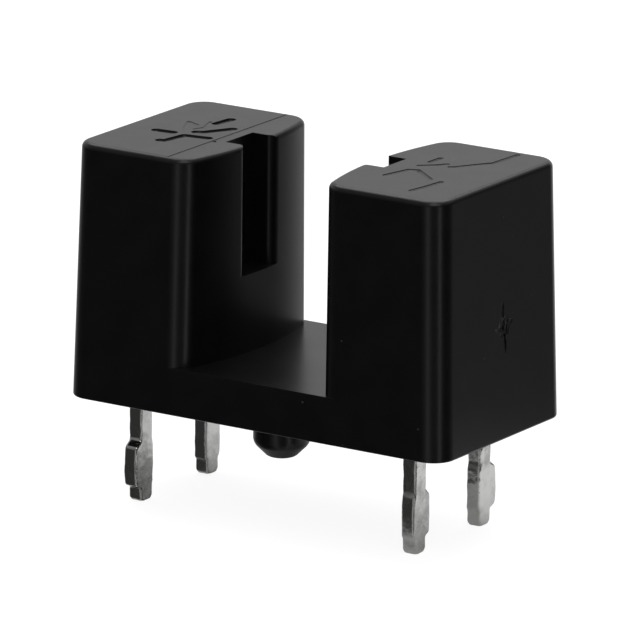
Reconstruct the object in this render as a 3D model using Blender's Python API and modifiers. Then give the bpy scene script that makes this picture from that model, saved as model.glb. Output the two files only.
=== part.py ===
"""Slotted optical switch: a U-shaped moulded housing with an infrared emitter in one tower
and a light detector in the other, each cast on a pair of stamped leads.

The sizes are millimetres. Every piece hangs under one root empty whose scale brings the
model to metres. +Z is up, +X runs from the emitter tower to the detector tower, and the
part stands on the tips of its leads at z = 0."""

import bpy
import bmesh
import math
from mathutils import Vector

METRES_PER_MM = 0.001

# Housing block
TOWER_LENGTH = 3.2          # from the slot face out to the end
BODY_WIDTH = 4.8
BODY_HEIGHT = 5.4
END_DRAFT = 0.14            # lean of each end face, over the height
SIDE_DRAFT = 0.10           # lean of the front and back faces, over the height
CORNER_RADIUS = 0.5
TOP_FILLET = 0.13
BOTTOM_FILLET = 0.05
FLOOR_THICKNESS = 1.0

# Slot between the towers
SLOT_WIDTH = 2.8
SLOT_STRAIGHT = 1.8         # length of the parallel stretch, across the part
SLOT_FLARE = 0.24           # how far each face falls back at the slot's two ends
SLOT_CORNER_RADIUS = 0.5

# Upright grooves in the slot faces, and the slits that the light passes through
EMITTER_GROOVE_WIDTH = 1.24
DETECTOR_GROOVE_WIDTH = 0.96
GROOVE_DEPTH = 0.56
GROOVE_LIP_RADIUS = 0.25
GROOVE_SILL = 2.65          # above the underside
SLIT_WIDTH = 0.5
SLIT_HEIGHT = 1.4
OPTICAL_HEIGHT = 3.7        # beam axis above the underside
SLIT_WALL = 0.24

# Locating peg under the floor
PEG_RADIUS = 0.59
PEG_LENGTH = 0.8
PEG_TAPER = 0.3
PEG_OFFSET = 1.2            # towards the front

# Cast package of each device
PACKAGE_THICKNESS = 1.5
PACKAGE_WIDTH = 3.6
PACKAGE_HEIGHT = 4.25
PACKAGE_RECESS = 0.3        # package foot above the underside
PACKAGE_CORNER_RADIUS = 0.25
PACKAGE_DRAFT = 0.07
EMITTER_LENS_RADIUS = 0.85
EMITTER_LENS_RISE = 0.42
DETECTOR_LENS_RADIUS = 1.05
DETECTOR_LENS_RISE = 0.3
LENS_STEM = 0.2             # the lens form's depth inside its package
POCKET_CLEARANCE = 0.02     # between a package and its pocket

# Stamped leads
LEAD_REACH = 2.25           # tip below the underside
LEAD_SETBACK = 1.95         # lead plane behind the slot face
LEAD_PITCH = 2.54           # between the two leads of a device
LEAD_THICKNESS = 0.33
LEAD_WIDTH = 0.43
LEAD_TIP_CHAMFER = 0.07
LEAD_EDGE_ROUND = 0.035
STUB_TOP = 0.98             # tie bar stub, below the underside
STUB_HEIGHT = 0.9
STUB_CORNER = 0.06
PAD_SIZE = 1.0
POST_HEAD_HEIGHT = 0.5
LEAD_CLEARANCE = 0.02       # between a lead, die or wire and the casting round it
INNER_GAP = 0.3             # between the pad and the post head

# Dies, the adhesive under them, and bond wires
EMITTER_DIE_SIZE = 0.32
EMITTER_DIE_HEIGHT = 0.2
DETECTOR_DIE_SIZE = 0.6
DETECTOR_DIE_HEIGHT = 0.22
ADHESIVE_THICKNESS = 0.025
ADHESIVE_MARGIN = 0.04      # how far the adhesive shows round its die
SEAT_GAP = 0.01             # between a die, wire or film and what it sits on
WIRE_RADIUS = 0.02
WIRE_LOOP = 0.22            # height of the loop above the die

ARC_STEPS = 8
FILLET_STEPS = 5
RUN_OUT = 0.25              # how far a cutter runs on past the face that it leaves

BODY_LENGTH = SLOT_WIDTH + 2 * TOWER_LENGTH
UNDERSIDE = LEAD_REACH
SLOT_FLOOR = UNDERSIDE + FLOOR_THICKNESS
TOP = UNDERSIDE + BODY_HEIGHT
BEAM = UNDERSIDE + OPTICAL_HEIGHT
PACKAGE_FOOT = UNDERSIDE + PACKAGE_RECESS
GROOVE_BACK = SLOT_WIDTH / 2 + GROOVE_DEPTH
LEAD_X = SLOT_WIDTH / 2 + LEAD_SETBACK
LEAD_Y = LEAD_PITCH / 2

# Each lead: side of its lead plane (-1 emitter, +1 detector), place across the part
# (-1 front, +1 back), whether it carries the die, and its tie bar stubs, front and back.
LEADS = {
    "emitter_cathode_lead": (-1, -1, True, 0.20, 0.03),
    "emitter_anode_lead": (-1, 1, False, 0.06, 0.06),
    "detector_collector_lead": (1, -1, True, 0.05, 0.15),
    "detector_emitter_lead": (1, 1, False, 0.03, 0.22),
}


def clear_scene():
    for item in list(bpy.data.objects):
        bpy.data.objects.remove(item, do_unlink=True)


def make_collection(name):
    group = bpy.data.collections.new(name)
    bpy.context.scene.collection.children.link(group)
    return group


def make_material(name, colour, roughness, metallic=0.0):
    material = bpy.data.materials.new(name)
    material.use_nodes = True
    shader = material.node_tree.nodes["Principled BSDF"]
    shader.inputs["Base Color"].default_value = (*colour, 1.0)
    shader.inputs["Roughness"].default_value = roughness
    shader.inputs["Metallic"].default_value = metallic
    return material


def add_object(name, data, group, root):
    item = bpy.data.objects.new(name, data)
    group.objects.link(item)
    item.parent = root
    return item


def loft(name, rings, group, root):
    """A closed solid through rings of equally many points, capped at both ends."""
    mesh = bpy.data.meshes.new(name)
    bm = bmesh.new()
    loops = [[bm.verts.new(point) for point in ring] for ring in rings]
    count = len(loops[0])
    for lower, upper in zip(loops, loops[1:]):
        for i in range(count):
            j = (i + 1) % count
            bm.faces.new((lower[i], lower[j], upper[j], upper[i]))
    bm.faces.new(reversed(loops[0]))
    bm.faces.new(loops[-1])
    bmesh.ops.recalc_face_normals(bm, faces=bm.faces)
    bm.to_mesh(mesh)
    bm.free()
    return add_object(name, mesh, group, root)


def curve_to_mesh(item):
    """Swap a curve object for a mesh object of the same shape, with its caps welded on."""
    bpy.context.view_layer.update()
    graph = bpy.context.evaluated_depsgraph_get()
    mesh = bpy.data.meshes.new_from_object(item.evaluated_get(graph))
    bm = bmesh.new()
    bm.from_mesh(mesh)
    bmesh.ops.remove_doubles(bm, verts=bm.verts, dist=0.0001)
    bmesh.ops.recalc_face_normals(bm, faces=bm.faces)
    bm.to_mesh(mesh)
    bm.free()
    name = item.name
    group = item.users_collection[0]
    root = item.parent
    place = item.matrix_basis.copy()
    bpy.data.objects.remove(item, do_unlink=True)
    solid = add_object(name, mesh, group, root)
    solid.matrix_basis = place
    return solid


def plate(name, outline, thickness, group, root):
    """An outline filled and thickened evenly to both sides of its plane."""
    curve = bpy.data.curves.new(name, "CURVE")
    curve.dimensions = "2D"
    curve.fill_mode = "BOTH"
    curve.extrude = thickness / 2
    spline = curve.splines.new("POLY")
    spline.points.add(len(outline) - 1)
    for point, (across, up) in zip(spline.points, outline):
        point.co = (across, up, 0.0, 1.0)
    spline.use_cyclic_u = True
    return add_object(name, curve, group, root)


def turned(name, profile, group, root):
    """A profile of (radius, height) pairs, top to bottom, turned about its own Z axis."""
    mesh = bpy.data.meshes.new(name)
    points = [(radius, 0.0, height) for radius, height in profile]
    mesh.from_pydata(points, [(i, i + 1) for i in range(len(points) - 1)], [])
    item = add_object(name, mesh, group, root)
    screw = item.modifiers.new("turn", "SCREW")
    screw.axis = "Z"
    screw.steps = 32
    screw.render_steps = 32
    screw.use_merge_vertices = True
    screw.merge_threshold = 0.0001
    return item


def combine(target, tool, operation):
    modifier = target.modifiers.new(tool.name, "BOOLEAN")
    modifier.operation = operation
    modifier.solver = "EXACT"
    modifier.object = tool


def arc(centre, radius, start, end, steps):
    """Points along an arc, both ends included; angles in radians."""
    points = []
    for i in range(steps + 1):
        angle = start + (end - start) * i / steps
        points.append((centre[0] + radius * math.cos(angle), centre[1] + radius * math.sin(angle)))
    return points


def run_past(before, last, distance):
    """The point that carries a chord on past its end, so that a cutter leaves the face."""
    step = Vector(last) - Vector(before)
    return tuple(Vector(last) + step.normalized() * distance)


def rounded_rectangle(half_x, half_y, radius):
    points = []
    quarter = math.pi / 2
    for corner, (sign_x, sign_y) in enumerate(((1, 1), (-1, 1), (-1, -1), (1, -1))):
        centre = (sign_x * (half_x - radius), sign_y * (half_y - radius))
        points += arc(centre, radius, corner * quarter, (corner + 1) * quarter, ARC_STEPS)
    return points


def side_plane(height):
    """Half the width of the housing at a height above the underside."""
    return BODY_WIDTH / 2 - SIDE_DRAFT * height / BODY_HEIGHT


def end_plane(height):
    """Half the length of the housing at a height above the underside."""
    return BODY_LENGTH / 2 - END_DRAFT * height / BODY_HEIGHT


def fillet_levels():
    """(height, inset) pairs up the block's outer wall: bottom fillet, wall, top fillet."""
    levels = []
    for i in range(FILLET_STEPS + 1):
        angle = math.pi / 2 * i / FILLET_STEPS
        levels.append((BOTTOM_FILLET * (1 - math.sin(angle)), BOTTOM_FILLET * (1 - math.cos(angle))))
    levels.reverse()
    for i in range(FILLET_STEPS + 1):
        angle = math.pi / 2 * i / FILLET_STEPS
        height = BODY_HEIGHT - TOP_FILLET * (1 - math.sin(angle))
        levels.append((height, TOP_FILLET * (1 - math.cos(angle))))
    return levels


def housing_block(group, root):
    rings = []
    for height, inset in fillet_levels():
        outline = rounded_rectangle(end_plane(height) - inset, side_plane(height) - inset,
                                    CORNER_RADIUS - inset)
        rings.append([(x, y, UNDERSIDE + height) for x, y in outline])
    return loft("housing", rings, group, root)


def slot_face(height, inset):
    """Half of one slot face in plan, from its middle out past the housing's side.

    The face runs straight, falls back along a line, and turns round an arc that ends on the
    drafted side face. The inset moves it into the tower, for the fillet at the top."""
    lean = math.atan2(SLOT_FLARE, (BODY_WIDTH - SLOT_STRAIGHT) / 2)
    side = side_plane(height)
    run = (side - SLOT_CORNER_RADIUS * (1 - math.sin(lean)) - SLOT_STRAIGHT / 2) / math.cos(lean)
    centre = (SLOT_WIDTH / 2 + run * math.sin(lean) + SLOT_CORNER_RADIUS * math.cos(lean),
              side - SLOT_CORNER_RADIUS)
    turn = arc(centre, SLOT_CORNER_RADIUS - inset, math.pi - lean, math.pi / 2, ARC_STEPS)
    out = run_past(turn[-2], turn[-1], RUN_OUT)
    return [(SLOT_WIDTH / 2 + inset, 0.0),
            (SLOT_WIDTH / 2 + inset, SLOT_STRAIGHT / 2 - inset * math.tan(lean / 2)),
            *turn[:-1], out, (out[0], BODY_WIDTH / 2 + RUN_OUT)]


def slot_ring(height, inset, level):
    """The slot's whole outline in plan, anticlockwise."""
    quarter = slot_face(height, inset)
    right = [(x, -y) for x, y in reversed(quarter)] + quarter[1:]
    left = [(-x, -y) for x, y in right]
    return [(x, y, level) for x, y in right + left]


def slot_cutter(group, root):
    rings = [slot_ring(FLOOR_THICKNESS, 0.0, SLOT_FLOOR)]
    top_levels = fillet_levels()[-FILLET_STEPS - 1:]
    for height, inset in top_levels[:-1]:
        rings.append(slot_ring(height, inset, UNDERSIDE + height))
    height, inset = run_past(top_levels[-2], top_levels[-1], TOP_FILLET)
    rings.append(slot_ring(BODY_HEIGHT, inset, UNDERSIDE + height))
    return loft("slot_cutter", rings, group, root)


def upright_prism(name, outline, bottom, top, group, root):
    tool = plate(name, outline, top - bottom, group, root)
    tool.location.z = (bottom + top) / 2
    return curve_to_mesh(tool)


def groove_cutter(side, width, group, root):
    """One light groove: square at the back, with rounded lips where it meets the slot."""
    face = SLOT_WIDTH / 2
    lip = GROOVE_LIP_RADIUS
    centre = (face + lip, width / 2 + lip)
    turn = arc(centre, lip, -math.pi / 2, -math.pi, ARC_STEPS)
    half = [(GROOVE_BACK, width / 2), *turn[:-1], run_past(turn[-2], turn[-1], RUN_OUT)]
    outline = half + [(x, -y) for x, y in reversed(half)]
    outline = [(side * x, y) for x, y in outline]
    name = ("emitter" if side < 0 else "detector") + "_groove_cutter"
    return upright_prism(name, outline, UNDERSIDE + GROOVE_SILL, TOP + TOP_FILLET, group, root)


def lens_values(side):
    if side < 0:
        return EMITTER_LENS_RADIUS, EMITTER_LENS_RISE
    return DETECTOR_LENS_RADIUS, DETECTOR_LENS_RISE


def lens_rim(side):
    """Radius at the foot of the lens dome."""
    radius, rise = lens_values(side)
    return math.sqrt(radius ** 2 - (radius - rise) ** 2)


def package_front(side):
    """The package face that looks at the slot, as a distance from the middle."""
    rise = lens_values(side)[1]
    return GROOVE_BACK + SLIT_WALL + POCKET_CLEARANCE + rise


def pocket_cutter(side, group, root):
    """The pocket for one package, open below, with the channel its lens slides up."""
    rise = lens_values(side)[1]
    near = package_front(side) - POCKET_CLEARANCE
    far = package_front(side) + PACKAGE_THICKNESS + POCKET_CLEARANCE
    half_width = PACKAGE_WIDTH / 2 + POCKET_CLEARANCE
    channel = lens_rim(side) + POCKET_CLEARANCE
    outline = [(near - rise, -channel), (near - rise, channel), (near, channel),
               (near, half_width), (far, half_width), (far, -half_width),
               (near, -half_width), (near, -channel)]
    outline = [(side * x, y) for x, y in outline]
    name = ("emitter" if side < 0 else "detector") + "_pocket_cutter"
    roof = PACKAGE_FOOT + PACKAGE_HEIGHT + POCKET_CLEARANCE
    return upright_prism(name, outline, UNDERSIDE - POCKET_CLEARANCE, roof, group, root)


def slit_cutter(side, group, root):
    half = SLIT_WIDTH / 2
    near = GROOVE_BACK - GROOVE_DEPTH / 4
    far = package_front(side)
    outline = [(side * near, -half), (side * far, -half), (side * far, half), (side * near, half)]
    name = ("emitter" if side < 0 else "detector") + "_slit_cutter"
    return upright_prism(name, outline, BEAM - SLIT_HEIGHT / 2, BEAM + SLIT_HEIGHT / 2, group, root)


def peg_profile():
    tip = PEG_RADIUS - PEG_TAPER
    top = UNDERSIDE + FLOOR_THICKNESS / 2
    return [(0.0, top), (PEG_RADIUS, top), (PEG_RADIUS, UNDERSIDE - PEG_LENGTH + PEG_TAPER),
            (tip, UNDERSIDE - PEG_LENGTH), (0.0, UNDERSIDE - PEG_LENGTH)]


def build_housing(parts, tools, root, material):
    housing = housing_block(parts, root)
    peg = turned("peg_form", peg_profile(), tools, root)
    peg.location.y = -PEG_OFFSET
    combine(housing, peg, "UNION")
    combine(housing, slot_cutter(tools, root), "DIFFERENCE")
    for side, width in ((-1, EMITTER_GROOVE_WIDTH), (1, DETECTOR_GROOVE_WIDTH)):
        combine(housing, groove_cutter(side, width, tools, root), "DIFFERENCE")
        combine(housing, pocket_cutter(side, tools, root), "DIFFERENCE")
        combine(housing, slit_cutter(side, tools, root), "DIFFERENCE")
    housing.data.materials.append(material)
    return housing


def lead_outline(place, carries_die, stub_front, stub_back, grow=0.0):
    """One lead in the plane of its lead frame, as (across, up) points, anticlockwise.

    The blade comes up from its tip past the tie bar stubs into the package. Inside, the
    lead that carries the die steps over to a square pad behind the lens, and the other
    ends in a post head beside it. Growing it gives the space that the casting leaves."""
    middle = place * LEAD_Y
    left = middle - LEAD_WIDTH / 2 - grow
    right = middle + LEAD_WIDTH / 2 + grow
    stub_top = UNDERSIDE - STUB_TOP
    stub_foot = stub_top - STUB_HEIGHT
    chamfer = LEAD_TIP_CHAMFER
    corner = STUB_CORNER
    points = [(left + chamfer, -grow), (right - chamfer, -grow), (right, chamfer - grow)]
    points += [(right, stub_foot - corner), (right + stub_back, stub_foot),
               (right + stub_back, stub_top - corner), (right, stub_top + corner)]
    points += head_outline(place, carries_die, left, right, grow)
    points += [(left, stub_top + corner), (left - stub_front, stub_top - corner),
               (left - stub_front, stub_foot), (left, stub_foot - corner), (left, chamfer - grow)]
    return points


def head_outline(place, carries_die, left, right, grow):
    """The end of a lead inside the package, from its right edge round to its left edge."""
    inner = -place
    if carries_die:
        low = BEAM - PAD_SIZE / 2 - grow
        high = BEAM + PAD_SIZE / 2 + grow
        reach = inner * (PAD_SIZE / 2 + grow)
    else:
        high = BEAM + PAD_SIZE / 2 + grow
        low = high - POST_HEAD_HEIGHT - 2 * grow
        reach = inner * (-PAD_SIZE / 2 - INNER_GAP + grow)
    if inner > 0:
        return [(right, low), (reach, low), (reach, high), (left, high)]
    return [(right, high), (reach, high), (reach, low), (left, low)]


def build_lead(name, parts, root, material):
    side, place, carries_die, stub_front, stub_back = LEADS[name]
    outline = lead_outline(place, carries_die, stub_front, stub_back)
    lead = plate(name, outline, LEAD_THICKNESS, parts, root)
    lead.rotation_euler = (math.pi / 2, 0.0, math.pi / 2)
    lead.location.x = side * LEAD_X
    lead = curve_to_mesh(lead)
    bevel = lead.modifiers.new("rolled_edge", "BEVEL")
    bevel.width = LEAD_EDGE_ROUND
    bevel.segments = 1
    bevel.limit_method = "ANGLE"
    bevel.angle_limit = math.radians(60)
    lead.data.materials.append(material)
    return lead


def lead_space(name, tools, root):
    """What the casting leaves free for a lead."""
    side, place, carries_die, stub_front, stub_back = LEADS[name]
    outline = lead_outline(place, carries_die, stub_front, stub_back, LEAD_CLEARANCE)
    tool = plate(name + "_space", outline, LEAD_THICKNESS + 2 * LEAD_CLEARANCE, tools, root)
    tool.rotation_euler = (math.pi / 2, 0.0, math.pi / 2)
    tool.location.x = side * LEAD_X
    return curve_to_mesh(tool)


def box(name, centre, size, group, root):
    bm = bmesh.new()
    bmesh.ops.create_cube(bm, size=1.0)
    bmesh.ops.scale(bm, vec=Vector(size), verts=bm.verts)
    mesh = bpy.data.meshes.new(name)
    bm.to_mesh(mesh)
    bm.free()
    item = add_object(name, mesh, group, root)
    item.location = centre
    return item


def die_values(side):
    if side < 0:
        return EMITTER_DIE_SIZE, EMITTER_DIE_HEIGHT
    return DETECTOR_DIE_SIZE, DETECTOR_DIE_HEIGHT


def pad_face():
    """The face of the die pad that looks at the slot, as a distance from the middle."""
    return LEAD_X - LEAD_THICKNESS / 2


def die_back():
    """The underside of the die, on its adhesive, as a distance from the middle."""
    return pad_face() - 2 * SEAT_GAP - ADHESIVE_THICKNESS


def wire_points(side):
    """The bond wire: up off the die, over in an arch, down on the post head."""
    size, height = die_values(side)
    on_die = die_back() - height - SEAT_GAP - WIRE_RADIUS
    on_post = pad_face() - SEAT_GAP - WIRE_RADIUS
    start = Vector((side * on_die, size / 4, BEAM + size / 4))
    post_middle = (PAD_SIZE / 2 + INNER_GAP + LEAD_Y + LEAD_WIDTH / 2) / 2
    end = Vector((side * on_post, post_middle, BEAM + PAD_SIZE / 2 - POST_HEAD_HEIGHT / 2))
    lift = Vector((-side * WIRE_LOOP, 0.0, 0.0))
    points = []
    count = 14
    for i in range(count + 1):
        t = i / count
        points.append(start.lerp(end, t) + lift * math.sin(math.pi * t) ** 0.8)
    return points


def tube(name, points, radius, group, root):
    curve = bpy.data.curves.new(name, "CURVE")
    curve.dimensions = "3D"
    curve.bevel_depth = radius
    curve.bevel_resolution = 1
    curve.use_fill_caps = True
    spline = curve.splines.new("POLY")
    spline.points.add(len(points) - 1)
    for point, place in zip(spline.points, points):
        point.co = (*place, 1.0)
    return curve_to_mesh(add_object(name, curve, group, root))


def build_package(side, parts, tools, root, material):
    """The casting: two drafted halves that meet at the lead plane, and a domed lens."""
    front = package_front(side)
    middle_z = PACKAGE_FOOT + PACKAGE_HEIGHT / 2
    rings = []
    for x, inset in ((front, PACKAGE_DRAFT), (LEAD_X, 0.0), (front + PACKAGE_THICKNESS, PACKAGE_DRAFT)):
        outline = rounded_rectangle(PACKAGE_WIDTH / 2 - inset, PACKAGE_HEIGHT / 2 - inset,
                                    PACKAGE_CORNER_RADIUS)
        rings.append([(side * x, y, middle_z + z) for y, z in outline])
    prefix = "emitter" if side < 0 else "detector"
    package = loft(prefix + "_package", rings, parts, root)
    combine(package, lens_form(side, tools, root), "UNION")
    for name, lead in LEADS.items():
        if lead[0] == side:
            combine(package, lead_space(name, tools, root), "DIFFERENCE")
    size, height = die_values(side)
    width = size + 2 * ADHESIVE_MARGIN + 2 * LEAD_CLEARANCE
    die_room = stack(prefix + "_die_space", side, die_back() - height - LEAD_CLEARANCE, pad_face(),
                     width, tools, root)
    combine(package, die_room, "DIFFERENCE")
    foot = Vector((side * (WIRE_RADIUS + SEAT_GAP), 0.0, 0.0))
    path = wire_points(side)
    path = [path[0] + foot, *path, path[-1] + foot]
    wire_room = tube(prefix + "_wire_space", path, WIRE_RADIUS + LEAD_CLEARANCE, tools, root)
    combine(package, wire_room, "DIFFERENCE")
    package.data.materials.append(material)
    return package


def lens_form(side, tools, root):
    """A dome on a short stem, turned about the beam axis; the stem is sunk in the package."""
    radius, rise = lens_values(side)
    rim = lens_rim(side)
    dome = arc((0.0, rise - radius), radius, math.pi / 2, math.acos(rim / radius), ARC_STEPS)
    profile = [(0.0, rise), *dome[1:], (rim, -LENS_STEM), (0.0, -LENS_STEM)]
    name = ("emitter" if side < 0 else "detector") + "_lens_form"
    lens = turned(name, profile, tools, root)
    lens.rotation_euler = (0.0, -side * math.pi / 2, 0.0)
    lens.location = (side * package_front(side), 0.0, BEAM)
    return lens


def stack(name, side, near, far, width, group, root):
    """A square layer on the die pad, between two distances from the middle."""
    centre = (side * (near + far) / 2, 0.0, BEAM)
    return box(name, centre, (far - near, width, width), group, root)


def build_die(side, parts, root, material):
    size, height = die_values(side)
    name = ("emitter" if side < 0 else "detector") + "_die"
    die = stack(name, side, die_back() - height, die_back(), size, parts, root)
    die.data.materials.append(material)
    return die


def build_adhesive(side, parts, root, material):
    size = die_values(side)[0]
    name = ("emitter" if side < 0 else "detector") + "_die_adhesive"
    near = die_back() + SEAT_GAP
    film = stack(name, side, near, near + ADHESIVE_THICKNESS, size + 2 * ADHESIVE_MARGIN, parts, root)
    film.data.materials.append(material)
    return film


def build_wire(side, parts, root, material):
    name = ("emitter" if side < 0 else "detector") + "_bond_wire"
    wire = tube(name, wire_points(side), WIRE_RADIUS, parts, root)
    wire.data.materials.append(material)
    return wire


def main():
    clear_scene()
    parts = make_collection("slotted_optical_switch")
    tools = make_collection("cutters")
    root = bpy.data.objects.new("switch_root", None)
    parts.objects.link(root)
    root.scale = (METRES_PER_MM,) * 3
    black = make_material("black_moulding", (0.012, 0.012, 0.013), 0.38)
    clear = make_material("clear_casting", (0.55, 0.6, 0.72), 0.12)
    dark = make_material("dark_casting", (0.02, 0.012, 0.02), 0.12)
    tin = make_material("tin_plating", (0.72, 0.72, 0.7), 0.3, 1.0)
    silicon = make_material("die_surface", (0.18, 0.18, 0.22), 0.25, 0.6)
    silver = make_material("silver_adhesive", (0.55, 0.55, 0.53), 0.5, 0.5)
    gold = make_material("gold_wire", (0.83, 0.62, 0.24), 0.2, 1.0)

    build_housing(parts, tools, root, black)
    build_package(-1, parts, tools, root, clear)
    build_package(1, parts, tools, root, dark)
    for name in LEADS:
        build_lead(name, parts, root, tin)
    for side in (-1, 1):
        build_adhesive(side, parts, root, silver)
        build_die(side, parts, root, silicon)
        build_wire(side, parts, root, gold)

    for tool in tools.objects:
        tool.hide_render = True
        tool.display_type = "WIRE"
    bpy.context.view_layer.update()


main()
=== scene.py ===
"""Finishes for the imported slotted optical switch, and the small studio that it stands in.

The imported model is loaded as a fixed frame, in metres. Each new piece is modelled in
millimetres and scaled by its object, so that a texture's object coordinates are millimetres."""

import math

import bmesh
import bpy
from bpy.props import FloatProperty, FloatVectorProperty, PointerProperty
from mathutils import Matrix, Vector, noise


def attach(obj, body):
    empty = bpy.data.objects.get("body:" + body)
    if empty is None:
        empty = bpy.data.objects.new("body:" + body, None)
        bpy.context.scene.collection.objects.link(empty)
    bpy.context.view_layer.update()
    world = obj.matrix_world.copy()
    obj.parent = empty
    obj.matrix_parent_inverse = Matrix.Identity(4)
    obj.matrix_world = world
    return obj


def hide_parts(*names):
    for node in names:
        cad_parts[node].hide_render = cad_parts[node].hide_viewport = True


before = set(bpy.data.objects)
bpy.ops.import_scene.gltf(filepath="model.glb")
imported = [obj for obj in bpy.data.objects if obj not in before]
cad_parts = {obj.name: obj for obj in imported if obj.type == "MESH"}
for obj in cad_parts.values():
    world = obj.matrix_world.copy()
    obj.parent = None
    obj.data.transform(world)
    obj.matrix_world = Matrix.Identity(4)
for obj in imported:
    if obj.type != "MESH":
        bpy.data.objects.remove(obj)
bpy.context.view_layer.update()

bl_info = {
    "name": "Slotted optical switch",
    "version": (1, 0, 0),
    "blender": (4, 5, 0),
    "location": "3D View > Sidebar > Switch",
    "description": "Finishes and studio for a slotted optical switch",
    "category": "Object",
}

MM = 0.001
WELD_DISTANCE = 0.0001

# Housing block, in millimetres
UNDERSIDE = 2.25
BODY_LENGTH = 9.2
BODY_WIDTH = 4.8
BODY_HEIGHT = 5.4
TOP = UNDERSIDE + BODY_HEIGHT
END_DRAFT = 0.14
SIDE_DRAFT = 0.10
CORNER_RADIUS = 0.5
TOP_FILLET = 0.13
BOTTOM_FILLET = 0.05
SLOT_FLOOR = UNDERSIDE + 1.0
FILLET_STEPS = 7
CORNER_STEPS = 14
RUN_OUT = 0.25
CUT_ABOVE = TOP + 0.1

# Slot, grooves, slits and pockets
SLOT_WIDTH = 2.7
SLOT_FACE_RADIUS = 8.0
SLOT_FACE_STEPS = 24
SLOT_CORNER_RADIUS = 0.5
SLOT_MOUTH = 2.07
SLOT_SHOULDER = 1.9
GROOVE_WIDTH = {-1: 1.0, 1: 0.86}
GROOVE_BACK = SLOT_WIDTH / 2 + 0.55
GROOVE_LIP_RADIUS = 0.2
GROOVE_SILL = UNDERSIDE + 2.65
GROOVE_FRONT = SLOT_WIDTH / 2 - 0.4
BEAM = UNDERSIDE + 3.7
SLIT_WIDTH = 0.5
SLIT_HEIGHT = 1.4
SLIT_WALL = 0.3
SLIT_START = GROOVE_BACK - 0.14
POCKET_CLEARANCE = 0.02
PEG_RADIUS = 0.59
PEG_LENGTH = 0.8
PEG_TAPER = 0.3
PEG_OFFSET = 1.2
PEG_SHOULDER_RADIUS = 0.25
PEG_NOSE_RADIUS = 0.2

# Cast packages
PACKAGE_THICKNESS = 1.5
PACKAGE_WIDTH = 3.6
PACKAGE_HEIGHT = 4.25
PACKAGE_FOOT = UNDERSIDE + 0.3
PACKAGE_CORNER_RADIUS = 0.25
PACKAGE_DRAFT = 0.07
PACKAGE_EDGE = ((0.0, 0.05), (0.02, 0.02), (0.06, 0.0))
LENS = {-1: (0.85, 0.42), 1: (1.05, 0.3)}

# Stamped leads
LEAD_X = SLOT_WIDTH / 2 + 2.0
LEAD_Y = 1.27
LEAD_THICKNESS = 0.33
LEAD_WIDTH = 0.43
LEAD_CHAMFER = 0.07
STUB_TOP = UNDERSIDE - 0.98
STUB_FOOT = STUB_TOP - 0.9
STUB_SHOULDER = 0.06
PAD_SIZE = 1.0
POST_HEAD_HEIGHT = 0.5
INNER_GAP = 0.3
PLATING_VOXEL = 0.024

# Lean of the leads to the front: how far at the front and back, from where, over what height
LEAD_LEAN = {-1: 0.12, 1: 0.2}
LEAN_START = UNDERSIDE + 0.5
LEAN_HEIGHT = 0.7

# Dies with their adhesive, and bond wires
DIE = {-1: (0.32, 0.2), 1: (0.6, 0.22)}
ADHESIVE_THICKNESS = 0.025
ADHESIVE_MARGIN = 0.04
SEAT_GAP = 0.01
WIRE_RADIUS = 0.02
WIRE_LOOP = 0.22

# Each lead: side, place, carries the die, front stub, back stub
LEADS = {
    "emitter_cathode_lead": (-1, -1, True, 0.20, 0.03),
    "emitter_anode_lead": (-1, 1, False, 0.06, 0.06),
    "detector_collector_lead": (1, -1, True, 0.05, 0.15),
    "detector_emitter_lead": (1, 1, False, 0.03, 0.22),
}
PREFIX = {-1: "emitter", 1: "detector"}

# Engraved circuit symbols on the tower tops, as strokes of (x, y) points, and the width and
# depth of the fainter ones
EMITTER_SYMBOL = (
    ((-3.62, -0.49), (-3.23, -0.46)),
    ((-3.07, -1.16), (-2.96, -1.13), (-2.88, -0.54), (-2.36, -0.46)),
    ((-2.85, -0.16), (-2.71, -0.08), (-2.38, 0.48)),
    ((-2.90, 0.67), (-2.86, 1.14)),
)
EMITTER_ARROWS = (
    ((-3.22, -0.05), (-3.48, 0.50), (-3.17, 0.36)),
    ((-3.02, 0.02), (-2.93, 0.26), (-3.09, 0.72)),
)
DETECTOR_SYMBOL = (
    ((2.27, -0.95), (2.42, -0.29), (2.59, -0.22), (3.20, -0.72)),
    ((3.50, -0.78), (3.45, -1.31), (3.38, -1.71)),
    ((2.41, 0.11), (2.67, 0.34), (2.81, 0.53)),
    ((2.43, 0.48), (2.44, 0.88)),
    ((2.99, 0.37), (3.08, 0.44), (3.34, 0.87), (3.54, 1.16), (3.58, 2.01)),
)
ARROW_STROKE = (0.08, 0.014)
DETECTOR_STROKE = (0.12, 0.028)

# Marks of the mould on the left top: a pin mark, and the step at an insert's edge
PIN_MARK = (-2.10, -0.60, TOP - 0.012)
PIN_MARK_SIZE = (0.05, 0.05, 0.03)
WITNESS_LEFT, WITNESS_RIGHT, WITNESS_REACH = -2.17, -1.0, 2.6
WITNESS_STEP = 0.007

# Torn gate: seed, place across, height above the underside, and half sizes of each pit and burr
GATE_HEIGHT = 2.35
GATE_PITS = (
    (3.1, 0.03, 2.36, (0.045, 0.21, 0.23)),
    (7.7, -0.02, 2.70, (0.028, 0.07, 0.24)),
    (5.3, 0.07, 2.00, (0.024, 0.06, 0.22)),
    (4.4, 0.24, 2.42, (0.022, 0.13, 0.07)),
    (8.8, -0.18, 2.34, (0.020, 0.11, 0.06)),
)
GATE_BURRS = (
    (1.3, 0.10, 2.40, (0.022, 0.06, 0.13)),
    (9.2, -0.08, 2.30, (0.022, 0.04, 0.09)),
)
BURR_SETBACK = 0.035

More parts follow.
